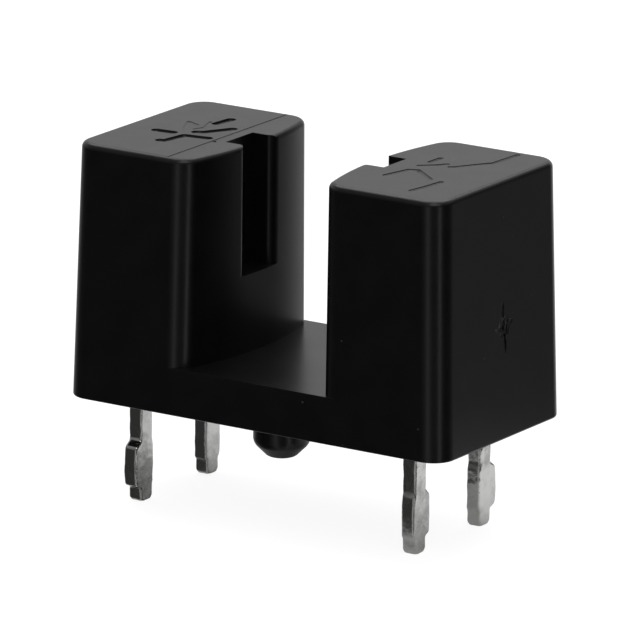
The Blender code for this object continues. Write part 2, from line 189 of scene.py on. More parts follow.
# Camera: degrees, and millimetres from the point that it looks at
CAMERA_AZIMUTH = 32.999
CAMERA_ELEVATION = 14.865
CAMERA_ROLL = 0.574
CAMERA_DISTANCE = 183.0
CAMERA_TARGET = (0.0, 0.0, 4.95)
PIXELS_PER_MM = 48.84
TARGET_PIXEL = (315.4, 277.8)
IMAGE_PIXELS = 640
SENSOR = 36.0

# Floor, and the disc of it that glossy rays see, in millimetres
FLOOR_HALF = 600.0
FLOOR_GLOW = 0.90
FLOOR_SHADE = 0.40
NEAR_FLOOR_CENTRE = (2.5, 3.5, 0.0)
NEAR_FLOOR_RADIUS = 6.0
NEAR_FLOOR_GLOW = 0.10
NEAR_FLOOR_EDGE = 1.0

# Overhead light: place and size in millimetres, and power
LIGHT_PLACE = (-40.0, 60.0, 160.0)
LIGHT_AIM = (0.0, 0.0, 4.0)
LIGHT_SIZE = 180.0
LIGHT_POWER = 0.16

# Brightness of the surround by direction, as (degrees from the front, value), for three
# heights: below the horizon, above it, and steeply above
SURROUND_LOW = (
    (-180, 0.80), (-150, 0.9), (-110, 0.3), (-80, 0.04), (-26, 0.03), (-12, 0.08), (0, 0.18),
    (6, 0.60), (11, 0.60), (17, 0.18), (28, 0.07), (54, 0.07), (60, 0.25), (62.2, 1.5),
    (64.3, 1.5), (66.5, 0.25), (76, 0.03), (100, 0.02), (120, 0.05), (130, 0.16), (138, 0.20),
    (147, 0.13), (156, 0.065), (161, 0.11), (167, 0.25), (173, 0.45), (180, 0.80),
)
SURROUND_HIGH = (
    (-180, 0.62), (-147, 0.53), (-110, 0.50), (-50, 0.20), (0, 0.12), (60, 0.06), (150, 0.04),
    (166, 0.08), (174, 0.35), (180, 0.62),
)
SURROUND_TOP = (
    (-180, 0.60), (-60, 0.20), (5, 0.25), (20, 1.3), (62, 1.3), (78, 0.2), (180, 0.60),
)


# Settings

COLOUR = {"subtype": "COLOR", "size": 3, "min": 0.0, "max": 1.0}
LENGTH = {"unit": "LENGTH", "subtype": "DISTANCE"}


class HousingSettings(bpy.types.PropertyGroup):
    """Sizes and colours of the moulded housing"""

    colour: FloatVectorProperty(
        name="Moulding colour", description="Colour of the black plastic",
        default=(0.0040, 0.0040, 0.0042), **COLOUR)
    groove_edge: FloatProperty(
        name="Groove edge", description="Rounding where the light grooves meet the tower tops",
        default=0.035 * MM, **LENGTH)
    engraving_depth: FloatProperty(
        name="Engraving depth", description="Depth of the symbol on the emitter tower",
        default=0.08 * MM, **LENGTH)
    engraving_width: FloatProperty(
        name="Engraving width", description="Width of the strokes on the emitter tower",
        default=0.22 * MM, **LENGTH)


class LeadSettings(bpy.types.PropertyGroup):
    """Sizes and colours of the stamped leads"""

    colour: FloatVectorProperty(
        name="Plating colour", description="Colour of the tin plating",
        default=(0.74, 0.74, 0.72), **COLOUR)
    edge: FloatProperty(
        name="Rolled edge", description="Rounding of the blade's edges",
        default=0.10 * MM, **LENGTH)
    ripple: FloatProperty(
        name="Plating ripple", description="Unevenness of the plating",
        default=0.012 * MM, **LENGTH)


class DeviceSettings(bpy.types.PropertyGroup):
    """Colours of the cast devices"""

    clear_resin: FloatVectorProperty(
        name="Emitter resin", description="Colour of the emitter's clear resin",
        default=(0.62, 0.68, 0.82), **COLOUR)
    dark_resin: FloatVectorProperty(
        name="Detector resin", description="Colour of the detector's dark resin",
        default=(0.02, 0.010, 0.018), **COLOUR)


class StageSettings(bpy.types.PropertyGroup):
    """The floor and the light"""

    floor_colour: FloatVectorProperty(
        name="Floor colour", description="Colour of the plain floor",
        default=(0.8, 0.8, 0.8), **COLOUR)
    world_strength: FloatProperty(
        name="Surround strength", description="Strength of the white surround",
        min=0.0, default=1.0)


# Meshes


def add_object(name, data):
    item = bpy.data.objects.new(name, data)
    bpy.context.scene.collection.objects.link(item)
    return item


def mesh_from(name, bm):
    mesh = bpy.data.meshes.new(name)
    bm.to_mesh(mesh)
    bm.free()
    return add_object(name, mesh)


def settle(item):
    """Turn an object with its modifiers into one with a plain mesh, in place."""
    bpy.context.view_layer.update()
    graph = bpy.context.evaluated_depsgraph_get()
    mesh = bpy.data.meshes.new_from_object(item.evaluated_get(graph))
    mesh.transform(item.matrix_basis)
    name = item.name
    bpy.data.objects.remove(item, do_unlink=True)
    mesh.name = name
    return add_object(name, mesh)


def loft(name, rings):
    """A closed solid through rings of equally many points, capped at both ends."""
    bm = bmesh.new()
    loops = [[bm.verts.new(point) for point in ring] for ring in rings]
    count = len(loops[0])
    for lower, upper in zip(loops, loops[1:]):
        for i in range(count):
            j = (i + 1) % count
            bm.faces.new((lower[i], lower[j], upper[j], upper[i]))
    bm.faces.new(reversed(loops[0]))
    bm.faces.new(loops[-1])
    bmesh.ops.recalc_face_normals(bm, faces=bm.faces)
    return mesh_from(name, bm)


def weld(item):
    bm = bmesh.new()
    bm.from_mesh(item.data)
    bmesh.ops.remove_doubles(bm, verts=bm.verts, dist=WELD_DISTANCE)
    bmesh.ops.recalc_face_normals(bm, faces=bm.faces)
    bm.to_mesh(item.data)
    bm.free()
    return item


def poly_curve(name, points, closed):
    """A curve through (x, y, z) points: flat and closed, or open in space."""
    curve = bpy.data.curves.new(name, "CURVE")
    curve.dimensions = "2D" if closed else "3D"
    spline = curve.splines.new("POLY")
    spline.points.add(len(points) - 1)
    for point, spot in zip(spline.points, points):
        point.co = (*spot, 1.0)
    spline.use_cyclic_u = closed
    return curve


def plate(name, outline, thickness):
    """An outline filled and thickened evenly to both sides of its plane."""
    curve = poly_curve(name, [(across, up, 0.0) for across, up in outline], True)
    curve.fill_mode = "BOTH"
    curve.extrude = thickness / 2
    return weld(settle(add_object(name, curve)))


def prism(name, outline, bottom, top, side=1):
    """An upright prism on an outline of (x, y) points, mirrored for the left side."""
    solid = plate(name, [(side * x, y) for x, y in outline], top - bottom)
    solid.location.z = (bottom + top) / 2
    return settle(solid)


def turned(name, profile, steps=64):
    """A profile of (radius, height) pairs turned about its own Z axis."""
    mesh = bpy.data.meshes.new(name)
    points = [(radius, 0.0, height) for radius, height in profile]
    mesh.from_pydata(points, [(i, i + 1) for i in range(len(points) - 1)], [])
    item = add_object(name, mesh)
    screw = item.modifiers.new("turn", "SCREW")
    screw.steps = steps
    screw.render_steps = steps
    screw.use_merge_vertices = True
    screw.merge_threshold = WELD_DISTANCE
    return weld(settle(item))


def tube(name, points, radius):
    curve = poly_curve(name, points, False)
    curve.bevel_depth = radius
    curve.bevel_resolution = 4
    curve.use_fill_caps = True
    return weld(settle(add_object(name, curve)))


def block(name, centre, size, rounding, segments=2):
    bm = bmesh.new()
    bmesh.ops.create_cube(bm, size=1.0)
    bmesh.ops.scale(bm, vec=Vector(size), verts=bm.verts)
    bmesh.ops.bevel(bm, geom=bm.edges[:], offset=rounding, segments=segments, profile=0.5,
                    affect="EDGES")
    bmesh.ops.translate(bm, vec=Vector(centre), verts=bm.verts)
    return mesh_from(name, bm)


def carve(target, cutters, operation="DIFFERENCE"):
    """Apply each cutter to the target in turn, and remove the cutters."""
    for cutter in cutters:
        modifier = target.modifiers.new(cutter.name, "BOOLEAN")
        modifier.operation = operation
        modifier.solver = "EXACT"
        modifier.object = cutter
    done = settle(target)
    for cutter in cutters:
        bpy.data.objects.remove(cutter, do_unlink=True)
    return done


def join(name, items):
    """One mesh out of several closed ones, which keep their own material slots."""
    bm = bmesh.new()
    slots = []
    for item in items:
        first = len(slots)
        slots += list(item.data.materials) or [None]
        before = len(bm.faces)
        bm.from_mesh(item.data)
        bm.faces.ensure_lookup_table()
        for face in bm.faces[before:]:
            face.material_index += first
    joined = mesh_from(name, bm)
    for material in slots:
        joined.data.materials.append(material)
    for item in items:
        bpy.data.objects.remove(item, do_unlink=True)
    return joined


def arc(centre, radius, start, end, steps):
    points = []
    for i in range(steps + 1):
        angle = start + (end - start) * i / steps
        points.append((centre[0] + radius * math.cos(angle), centre[1] + radius * math.sin(angle)))
    return points


def run_past(before, last, distance):
    """The point a distance beyond the last one, along the last step."""
    step = Vector(last) - Vector(before)
    return tuple(Vector(last) + step.normalized() * distance)


def rounded_rectangle(half_x, half_y, radius):
    points = []
    quarter = math.pi / 2
    for corner, (sign_x, sign_y) in enumerate(((1, 1), (-1, 1), (-1, -1), (1, -1))):
        centre = (sign_x * (half_x - radius), sign_y * (half_y - radius))
        points += arc(centre, radius, corner * quarter, (corner + 1) * quarter, CORNER_STEPS)
    return points


def strip(left, right, reach):
    """A rectangle of (x, y) points, even about the x axis."""
    return [(left, -reach), (right, -reach), (right, reach), (left, reach)]


def smooth(item, angle=35.0):
    """Smooth shading that keeps edges sharper than the angle, with flat faces kept flat."""
    item.data.set_sharp_from_angle(angle=math.radians(angle))
    for polygon in item.data.polygons:
        polygon.use_smooth = True
    weighted = item.modifiers.new("face_weight", "WEIGHTED_NORMAL")
    weighted.keep_sharp = True
    weighted.weight = 100
    return item


def place(item, name, node, materials):
    """Scale a finished piece to metres and put it on the frame in the place of its node."""
    item.name = name
    item.data.name = name
    item.scale = (MM,) * 3
    if materials:
        item.data.materials.clear()
        for material in materials:
            item.data.materials.append(material)
    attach(item, "root")
    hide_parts(node)
    return item


# Node helpers


def link(tree, source, target):
    tree.links.new(source, target)


def node(tree, kind, **values):
    """A new node; values name its properties, or its inputs by name or number."""
    made = tree.nodes.new(kind)
    inputs = values.pop("inputs", {})
    for key, value in values.items():
        setattr(made, key, value)
    for key, value in inputs.items():
        if isinstance(value, bpy.types.NodeSocket):
            link(tree, value, made.inputs[key])
        else:
            made.inputs[key].default_value = value
    return made


def maths(tree, operation, first, second, clamp=False):
    made = node(tree, "ShaderNodeMath", operation=operation, use_clamp=clamp,
                inputs={0: first, 1: second})
    return made.outputs[0]


def plus(tree, first, second, clamp=False):
    return maths(tree, "ADD", first, second, clamp)


def times(tree, first, second):
    return maths(tree, "MULTIPLY", first, second)


def ramp(tree, value, low, high, start=0.0, end=1.0):
    """Map a value from one range to another, smoothly and clamped."""
    made = node(tree, "ShaderNodeMapRange", interpolation_type="SMOOTHSTEP",
                inputs={"Value": value, "From Min": low, "From Max": high,
                        "To Min": start, "To Max": end})
    return made.outputs["Result"]


def blend(tree, factor, first, second):
    made = node(tree, "ShaderNodeMix", data_type="RGBA", inputs={0: factor, 6: first, 7: second})
    return made.outputs[2]


def opaque(colour, shade=1.0):
    """A colour with its alpha, lightened or darkened by a factor."""
    return (*[c * shade for c in colour], 1.0)


def new_group(name, inputs, *outputs):
    """A group of nodes for plain values: inputs with their defaults, and outputs."""
    group = bpy.data.node_groups.new(name, "ShaderNodeTree")
    for label, default in inputs.items():
        socket = group.interface.new_socket(label, in_out="INPUT", socket_type="NodeSocketFloat")
        socket.default_value = default
    for label in outputs:
        group.interface.new_socket(label, in_out="OUTPUT", socket_type="NodeSocketFloat")
    start = group.nodes.new("NodeGroupInput")
    end = group.nodes.new("NodeGroupOutput")
    return group, start.outputs, end.inputs


def millimetres(tree):
    return node(tree, "ShaderNodeTexCoord").outputs["Object"]


def speckle(tree, vector, scale, detail=2.0, roughness=0.5):
    made = node(tree, "ShaderNodeTexNoise",
                inputs={"Vector": vector, "Scale": scale, "Detail": detail, "Roughness": roughness})
    return made.outputs["Fac"]


def moulded_grain(name):
    """Fine spark-eroded grain with a slow unevenness under it."""
    inputs = {"Grain per mm": 28.0, "Wave per mm": 1.6, "Wave share": 0.4}
    group, given, out = new_group(name, inputs, "Height", "Patch")
    place_mm = millimetres(group)
    fine = speckle(group, place_mm, given["Grain per mm"], 3.0, 0.6)
    wave = speckle(group, place_mm, given["Wave per mm"])
    keep = maths(group, "SUBTRACT", 1.0, given["Wave share"])
    height = plus(group, times(group, fine, keep), times(group, wave, given["Wave share"]))
    link(group, height, out["Height"])
    link(group, ramp(group, wave, 0.35, 0.65), out["Patch"])
    return group


def draw_marks(name):
    """Upright draw marks left by the mould on the steep faces."""
    group, given, out = new_group(name, {"Marks per mm": 9.0, "Length": 0.05}, "Mask")
    across = given["Marks per mm"]
    stretch = node(group, "ShaderNodeCombineXYZ",
                   inputs={0: across, 1: across, 2: times(group, across, given["Length"])})
    scaled = node(group, "ShaderNodeVectorMath", operation="MULTIPLY",
                  inputs={0: millimetres(group), 1: stretch.outputs[0]})
    link(group, speckle(group, scaled.outputs[0], 1.0, 3.0, 0.6), out["Mask"])
    return group


def edge_wear_and_highlight(name):
    """Where an edge is: the turn between the rounded normal and the true one."""
    group, given, out = new_group(name, {"Radius": 0.05 * MM, "Breakup per mm": 6.0}, "Mask")
    # Materials use this mask for wear in roughness, and to lighten edges as a painted highlight.
    bevel = node(group, "ShaderNodeBevel", samples=4, inputs={"Radius": given["Radius"]})
    true = node(group, "ShaderNodeNewGeometry").outputs["Normal"]
    same = node(group, "ShaderNodeVectorMath", operation="DOT_PRODUCT",
                inputs={0: bevel.outputs[0], 1: true}).outputs["Value"]
    edge = ramp(group, same, 0.999, 0.9)
    broken = speckle(group, millimetres(group), given["Breakup per mm"], 3.0, 0.6)
    link(group, times(group, edge, ramp(group, broken, 0.35, 0.6)), out["Mask"])
    return group


def dust(name):
    """Sparse pale specks of dust."""
    group, given, out = new_group(name, {"Specks per mm": 2.2, "Speck size": 0.05}, "Mask")
    cells = node(group, "ShaderNodeTexVoronoi", feature="F1",
                 inputs={"Vector": millimetres(group), "Scale": given["Specks per mm"]})
    near = maths(group, "LESS_THAN", cells.outputs["Distance"], given["Speck size"])
    pick = node(group, "ShaderNodeSeparateColor", inputs={0: cells.outputs["Color"]}).outputs[0]
    few = maths(group, "GREATER_THAN", pick, 0.72)
    link(group, times(group, near, few), out["Mask"])
    return group


def use(tree, build, **values):
    """A group in a tree, built at its first use; values set its inputs by name."""
    name = build.__name__.replace("_", " ").capitalize()
    group = bpy.data.node_groups.get(name) or build(name)
    made = node(tree, "ShaderNodeGroup", node_tree=group)
    for key, value in values.items():
        made.inputs[key.replace("_", " ")].default_value = value
    return made.outputs


def new_material(name):
    material = bpy.data.materials.new(name)
    material.use_nodes = True
    return material, material.node_tree


def finish(material, tone, rough, height, relief, **plain):
    """Link a material's maps; relief is in millimetres, and plain values set inputs by name."""
    tree = material.node_tree
    shader = tree.nodes["Principled BSDF"]
    link(tree, tone, shader.inputs["Base Color"])
    link(tree, rough, shader.inputs["Roughness"])
    bump = node(tree, "ShaderNodeBump",
                inputs={"Strength": 1.0, "Distance": relief * MM, "Height": height})
    link(tree, bump.outputs["Normal"], shader.inputs["Normal"])
    for key, value in plain.items():
        shader.inputs[key.replace("_", " ")].default_value = value
    return material


# Housing


def side_plane(height):
    """Half the width at a height above the underside."""
    return BODY_WIDTH / 2 - SIDE_DRAFT * height / BODY_HEIGHT


def end_plane(height):
    """Half the length at a height above the underside."""
    return BODY_LENGTH / 2 - END_DRAFT * height / BODY_HEIGHT


def fillet_levels():
    """Pairs of height and inset up the block, through its lower and upper fillets."""
    turns = [math.pi / 2 * i / FILLET_STEPS for i in range(FILLET_STEPS + 1)]
    low = [(BOTTOM_FILLET * (1 - math.sin(turn)), BOTTOM_FILLET * (1 - math.cos(turn)))
           for turn in reversed(turns)]
    high = [(BODY_HEIGHT - TOP_FILLET * (1 - math.sin(turn)), TOP_FILLET * (1 - math.cos(turn)))
            for turn in turns]
    return low + high


def housing_block():
    rings = []
    for height, inset in fillet_levels():
        outline = rounded_rectangle(end_plane(height) - inset, side_plane(height) - inset,
                                    CORNER_RADIUS - inset)
        rings.append([(x, y, UNDERSIDE + height) for x, y in outline])
    return loft("housing_moulding", rings)


def slot_face(height, inset):
    """A quarter of the slot's outline: a wide arc, then the tighter arc of the corner."""
    radius = SLOT_FACE_RADIUS
    corner = SLOT_CORNER_RADIUS
    side = side_plane(height)
    middle = (SLOT_WIDTH / 2 + radius, 0.0)
    lean = math.asin((side - corner) / (radius - corner))
    centre = (middle[0] - (radius - corner) * math.cos(lean), side - corner)
    face = arc(middle, radius - inset, math.pi, math.pi - lean, SLOT_FACE_STEPS)
    turn = arc(centre, corner - inset, math.pi - lean, math.pi / 2, CORNER_STEPS)
    out = run_past(turn[-2], turn[-1], RUN_OUT)
    return [*face, *turn[1:-1], out, (out[0], BODY_WIDTH / 2 + RUN_OUT)]


def slot_cutter():
    levels = fillet_levels()
    rings = []
    for height, inset in [(SLOT_FLOOR - UNDERSIDE, 0.0), *levels[-FILLET_STEPS - 1:-1]]:
        rings.append((height, height, inset))
    height, inset = run_past(levels[-2], levels[-1], TOP_FILLET)
    rings.append((BODY_HEIGHT, height, inset))
    solid = []
    for draft_height, height, inset in rings:
        quarter = slot_face(draft_height, inset)
        right = [(x, -y) for x, y in reversed(quarter)] + quarter[1:]
        left = [(-x, -y) for x, y in right]
        solid.append([(x, y, UNDERSIDE + height) for x, y in right + left])
    return loft("slot_cutter", solid)


def groove_cutter(side):
    """One light groove, with lips that round over into the slot face."""
    width = GROOVE_WIDTH[side]
    lip = GROOVE_LIP_RADIUS
    reach = SLOT_FACE_RADIUS - lip
    across = width / 2 + lip
    lean = math.asin(across / reach)
    centre = (SLOT_WIDTH / 2 + SLOT_FACE_RADIUS - reach * math.cos(lean), across)
    turn = arc(centre, lip, -math.pi / 2, -math.pi - lean, CORNER_STEPS)
    out = run_past(turn[-2], turn[-1], RUN_OUT)
    half = [(GROOVE_BACK, width / 2), *turn[:-1], out, (GROOVE_FRONT, out[1])]
    outline = half + [(x, -y) for x, y in reversed(half)]
    return prism("groove", outline, GROOVE_SILL, TOP + TOP_FILLET, side)


def package_front(side):
    """How far the flat front of a package stands from the middle."""
    return GROOVE_BACK + SLIT_WALL + POCKET_CLEARANCE + LENS[side][1]


def lens_rim(side):
    """Radius at the foot of the lens dome."""
    radius, rise = LENS[side]
    return math.sqrt(radius ** 2 - (radius - rise) ** 2)


def pocket_cutters(side):
    """The pocket for a package with its lens, and the slit that lets the light through."""
    front = package_front(side)
    near = front - POCKET_CLEARANCE
    tip = near - LENS[side][1]
    far = front + PACKAGE_THICKNESS + POCKET_CLEARANCE
    half = PACKAGE_WIDTH / 2 + POCKET_CLEARANCE
    channel = lens_rim(side) + POCKET_CLEARANCE
    outline = [(tip, -channel), (tip, channel), (near, channel), (near, half),
               (far, half), (far, -half), (near, -half), (near, -channel)]
    roof = PACKAGE_FOOT + PACKAGE_HEIGHT + POCKET_CLEARANCE
    pocket = prism("pocket", outline, UNDERSIDE - 0.1, roof, side)
    slit = prism("slit", strip(SLIT_START, front, SLIT_WIDTH / 2),
                 BEAM - SLIT_HEIGHT / 2, BEAM + SLIT_HEIGHT / 2, side)
    return [pocket, slit]


def peg_form():
    """The peg with its cone, the edges turned over by a small radius."""
    foot = UNDERSIDE - PEG_LENGTH
    tip = PEG_RADIUS - PEG_TAPER
    eighth = math.pi / 4
    turn = math.tan(eighth / 2)
    upper, lower = PEG_SHOULDER_RADIUS, PEG_NOSE_RADIUS
    shoulder = arc((PEG_RADIUS - upper, foot + PEG_TAPER + upper * turn), upper, 0.0, -eighth, 7)
    nose = arc((tip - lower * turn, foot + lower), lower, -eighth, -2 * eighth, 7)
    root = UNDERSIDE + 0.5
    profile = [(0.0, root), (PEG_RADIUS, root), *shoulder, *nose, (0.0, foot)]
    peg = turned("peg", profile)
    peg.location.y = -PEG_OFFSET
    return settle(peg)


def stroke_cutter(first, last, width, depth):
    """One engraved stroke with round ends and a round bottom."""
    start, end = Vector(first), Vector(last)
    along = (end - start).normalized()
    turn = math.atan2(along.y, along.x)
    rings = []
    for share, deep in ((0.16, 1.0), (0.55, 0.93), (0.82, 0.72), (0.95, 0.42), (1.0, 0.0)):
        radius = width / 2 * share
        ring = arc(end, radius, turn - math.pi / 2, turn + math.pi / 2, 6)
        ring += arc(start, radius, turn + math.pi / 2, turn + 1.5 * math.pi, 6)
        rings.append([(x, y, TOP - depth * deep) for x, y in ring])
    rings.append([(x, y, CUT_ABOVE) for x, y, z in rings[-1]])
    return loft("stroke", rings)


def symbol_cutters(symbol, width, depth):
    """The strokes of a symbol, each a little shallower than the one that it meets."""
    cutters = []
    for line in symbol:
        for number, (first, last) in enumerate(zip(line, line[1:])):
            cutters.append(stroke_cutter(first, last, width, depth * (1 - 0.04 * number)))
    return cutters


def witness_cutter():
    """The low step where two inserts of the mould meet."""
    outline = strip(WITNESS_LEFT, WITNESS_RIGHT, WITNESS_REACH)
    return prism("witness_line", outline, TOP - WITNESS_STEP, CUT_ABOVE)


def torn_lump(seed, centre, size):
    """A rough lump: cut out it is a torn pit, and added it is a burr."""
    bm = bmesh.new()
    bmesh.ops.create_icosphere(bm, subdivisions=3, radius=1.0)
    for vert in bm.verts:
        swell = 1.0 + 0.55 * noise.noise(vert.co * 2.1 + Vector((seed, 0.0, 0.0)))
        vert.co = Vector([c * s * swell for c, s in zip(vert.co, size)]) + Vector(centre)
    return mesh_from("torn_lump", bm)


def soften_edges(item, width):
    """Round the edges that the grooves leave on the tower tops and at the slot floor's ends."""
    bm = bmesh.new()
    bm.from_mesh(item.data)
    bmesh.ops.dissolve_limit(bm, angle_limit=math.radians(0.2), verts=bm.verts, edges=bm.edges,
                             delimit={"NORMAL"})
    chosen = []
    for edge in bm.edges:
        if len(edge.link_faces) != 2 or edge.calc_face_angle(0.0) < math.radians(60):
            continue
        ends = [vert.co for vert in edge.verts]
        middle = (ends[0] + ends[1]) / 2
        in_groove = 1.3 < abs(middle.x) < GROOVE_BACK + 0.01 and abs(middle.y) < 0.9
        on_top = all(end.z > TOP - 0.001 for end in ends)
        on_sill = all(abs(end.z - GROOVE_SILL) < 0.001 for end in ends) and abs(middle.x) < 1.46
        floor_end = all(abs(end.z - SLOT_FLOOR) < 0.001 and abs(end.y) > 2.2 for end in ends)
        if (in_groove and (on_top or on_sill)) or floor_end:
            if edge.is_convex and edge.calc_length() > 0.01:
                chosen.append(edge)
    bmesh.ops.bevel(bm, geom=chosen, offset=width, segments=3, profile=0.5, affect="EDGES",
                    clamp_overlap=True)
    bm.to_mesh(item.data)
    bm.free()


def sort_finishes(item):
    """Give each face the finish of its place: 0 outer walls, 1 tower tops, 2 slot, 3 underside."""
    for face in item.data.polygons:
        centre, normal = face.center, face.normal
        in_slot = abs(centre.x) < SLOT_MOUTH and centre.z > SLOT_FLOOR - 0.06
        if normal.z < -0.5 and centre.z < UNDERSIDE + 0.06:
            face.material_index = 3
        elif centre.z > TOP - TOP_FILLET - 0.01 and normal.z > 0.3:
            face.material_index = 1
        elif in_slot and (abs(normal.x) > 0.02 or normal.z > 0.5 or abs(centre.x) < SLOT_SHOULDER):
            face.material_index = 2
        else:
            face.material_index = 0


def plastic(name, colour, dull, grain, depth, marks=0.0, patch=0.02):
    """Black moulding: grain and waviness in the bump, uneven gloss, edges rougher from wear and
    lighter as a painted highlight, and dust.
    """
    material, tree = new_material(name)
    grained = use(tree, moulded_grain, Grain_per_mm=grain)
    edge_mask = use(tree, edge_wear_and_highlight)["Mask"]
    specks = use(tree, dust)["Mask"]
    streaks = use(tree, draw_marks)["Mask"]
    pale = [min(1.0, c * 1.6 + 0.001) for c in colour]
    tone = blend(tree, times(tree, grained["Patch"], 0.3), opaque(colour), opaque(pale))
    # Edges lighter in colour: a painted highlight where the rounded edges catch the light.
    tone = blend(tree, times(tree, edge_mask, 0.35), tone, (0.02, 0.02, 0.021, 1.0))
    tone = blend(tree, times(tree, specks, 0.3), tone, (0.18, 0.18, 0.18, 1.0))
    rough = plus(tree, dull, times(tree, grained["Patch"], patch))
    rough = plus(tree, rough, times(tree, streaks, marks))
    rough = plus(tree, rough, times(tree, edge_mask, 0.06), clamp=True)
    height = plus(tree, grained["Height"], times(tree, streaks, marks * 2.0))
    return finish(material, tone, rough, height, depth)


def build_housing(settings):
    body = carve(housing_block(), [peg_form()], "UNION")
    cutters = [slot_cutter()]
    for side in (-1, 1):
        cutters += [groove_cutter(side), *pocket_cutters(side)]
    body = carve(body, cutters)
    soften_edges(body, settings.groove_edge / MM)
    body = carve(body, [witness_cutter()])
    cutters = symbol_cutters(EMITTER_SYMBOL, settings.engraving_width / MM,
                             settings.engraving_depth / MM)
    cutters += symbol_cutters(EMITTER_ARROWS, *ARROW_STROKE)
    cutters += symbol_cutters(DETECTOR_SYMBOL, *DETECTOR_STROKE)
    cutters.append(torn_lump(2.2, PIN_MARK, PIN_MARK_SIZE))
    face = end_plane(GATE_HEIGHT)
    for seed, y, z, size in GATE_PITS:
        cutters.append(torn_lump(seed, (face, y, UNDERSIDE + z), size))
    body = carve(body, cutters)
    burrs = []
    for seed, y, z, size in GATE_BURRS:
        burrs.append(torn_lump(seed, (face - BURR_SETBACK, y, UNDERSIDE + z), size))
    body = carve(body, burrs, "UNION")
    sort_finishes(body)
    smooth(body)
    colour = tuple(settings.colour)
    # The slot faces get the same plastic 2.4 times lighter: a painted sheen for the light that
    # these glossy faces reflect.
    slot_sheen_colour = tuple(c * 2.4 for c in colour)
    finishes = [plastic("Housing walls, spark-eroded", colour, 0.28, 26.0, 0.0012),
                plastic("Tower tops, satin", colour, 0.25, 30.0, 0.0036, patch=0.05),
                plastic("Slot faces, drawn, painted sheen", slot_sheen_colour, 0.06, 14.0, 0.0002, marks=0.02),
                plastic("Underside, satin", colour, 0.36, 26.0, 0.0020)]
    return place(body, "housing_moulding", "housing", finishes)


# Leads


def lead_outline(place_y, carries_die, stub_front, stub_back):
    """One lead in its own plane, as (across, up) points, anticlockwise."""
    middle = place_y * LEAD_Y
    left, right = middle - LEAD_WIDTH / 2, middle + LEAD_WIDTH / 2
    points = [(left + LEAD_CHAMFER, 0.0), (right - LEAD_CHAMFER, 0.0), (right, LEAD_CHAMFER)]
    points += stub_side(right, stub_back, 1)
    inner = -place_y
    high = BEAM + PAD_SIZE / 2
    if carries_die:
        low, reach = BEAM - PAD_SIZE / 2, inner * PAD_SIZE / 2
    else:
        low, reach = high - POST_HEAD_HEIGHT, inner * (-PAD_SIZE / 2 - INNER_GAP)
    if inner > 0:
        points += [(right, low), (reach, low), (reach, high), (left, high)]
    else:
        points += [(right, high), (reach, high), (reach, low), (left, low)]
    points += reversed(stub_side(left, stub_front, -1))
    points.append((left, LEAD_CHAMFER))
    return points


def stub_side(edge, width, sign):
    """The bulged side of a tie bar stub, from its foot up to its shoulder."""
    height = STUB_TOP - STUB_FOOT - STUB_SHOULDER
    points = [(edge, STUB_FOOT - STUB_SHOULDER)]
    for i in range(9):
        share = i / 8
        bulge = 0.85 + 0.15 * math.sin(math.pi * min(1.0, share * 1.1))
        points.append((edge + sign * width * bulge, STUB_FOOT + height * share))
    points.append((edge, STUB_TOP + STUB_SHOULDER))
    return points


def plated(name, outline, side, place_y, settings):
    """A stamped blade with rolled edges under an uneven coat of tin."""
    blade = plate(name, outline, LEAD_THICKNESS)
    blade.rotation_euler = (math.pi / 2, 0.0, math.pi / 2)
    blade.location.x = side * LEAD_X
    blade = settle(blade)
    bevel = blade.modifiers.new("rolled_edge", "BEVEL")
    bevel.width = settings.edge / MM
    bevel.segments = 3
    bevel.limit_method = "ANGLE"
    bevel.angle_limit = math.radians(50)
    remesh = blade.modifiers.new("plating", "REMESH")
    remesh.mode = "VOXEL"
    remesh.voxel_size = PLATING_VOXEL
    relax = blade.modifiers.new("relax", "SMOOTH")
    relax.factor = 0.5
    relax.iterations = 4
    blade = settle(blade)
    ripple = settings.ripple / MM
    mesh = blade.data
    moved = []
    for vert in mesh.vertices:
        slow = noise.noise(vert.co * 4.0 + Vector((side * 3.0, 1.7, 0.0)))
        quick = noise.noise(vert.co * 13.0)
        push = ripple * (0.75 * slow + 0.25 * quick - 0.45)
        moved.append(vert.co + vert.normal * push)
    for vert, co in zip(mesh.vertices, moved):
        drop = min(1.0, max(0.0, (LEAN_START - co.z) / LEAN_HEIGHT))
        lean = LEAD_LEAN[place_y] * drop * drop * (3 - 2 * drop)
        vert.co = (co.x, co.y - lean, max(co.z, 0.0))
    for polygon in mesh.polygons:
        polygon.use_smooth = True
    return blade


def tin(name, colour):
    """Tin plating: soft metal with cloudy gloss, fine scratches and a duller, darker bloom."""
    material, tree = new_material(name)
    place_mm = millimetres(tree)
    cloud = speckle(tree, place_mm, 2.2, 4.0, 0.6)
    crystals = node(tree, "ShaderNodeTexVoronoi", feature="F1",
                    inputs={"Vector": place_mm, "Scale": 22.0}).outputs["Distance"]
    marks = use(tree, draw_marks, Marks_per_mm=24.0, Length=0.04)["Mask"]
    bloom = ramp(tree, cloud, 0.42, 0.68)
    edge_mask = use(tree, edge_wear_and_highlight, Radius=0.04 * MM)["Mask"]
    tone = blend(tree, times(tree, bloom, 0.55), opaque(colour), opaque(colour, 0.62))
    # Edges lighter in colour: a painted highlight along the rolled edges.
    tone = blend(tree, times(tree, edge_mask, 0.5), tone, (0.86, 0.85, 0.83, 1.0))
    rough = plus(tree, 0.11, times(tree, bloom, 0.14))
    rough = plus(tree, rough, times(tree, marks, 0.10), clamp=True)
    height = plus(tree, plus(tree, times(tree, crystals, 0.5), marks), cloud)
    return finish(material, tone, rough, height, 0.0014, Metallic=1.0)


def build_leads(settings):
    plating = tin("Tin plating", tuple(settings.colour))
    for name, (side, place_y, carries_die, front, back) in LEADS.items():
        outline = lead_outline(place_y, carries_die, front, back)
        blade = plated(name + "_blade", outline, side, place_y, settings)
        place(blade, name + "_blade", name, [plating])


# Devices


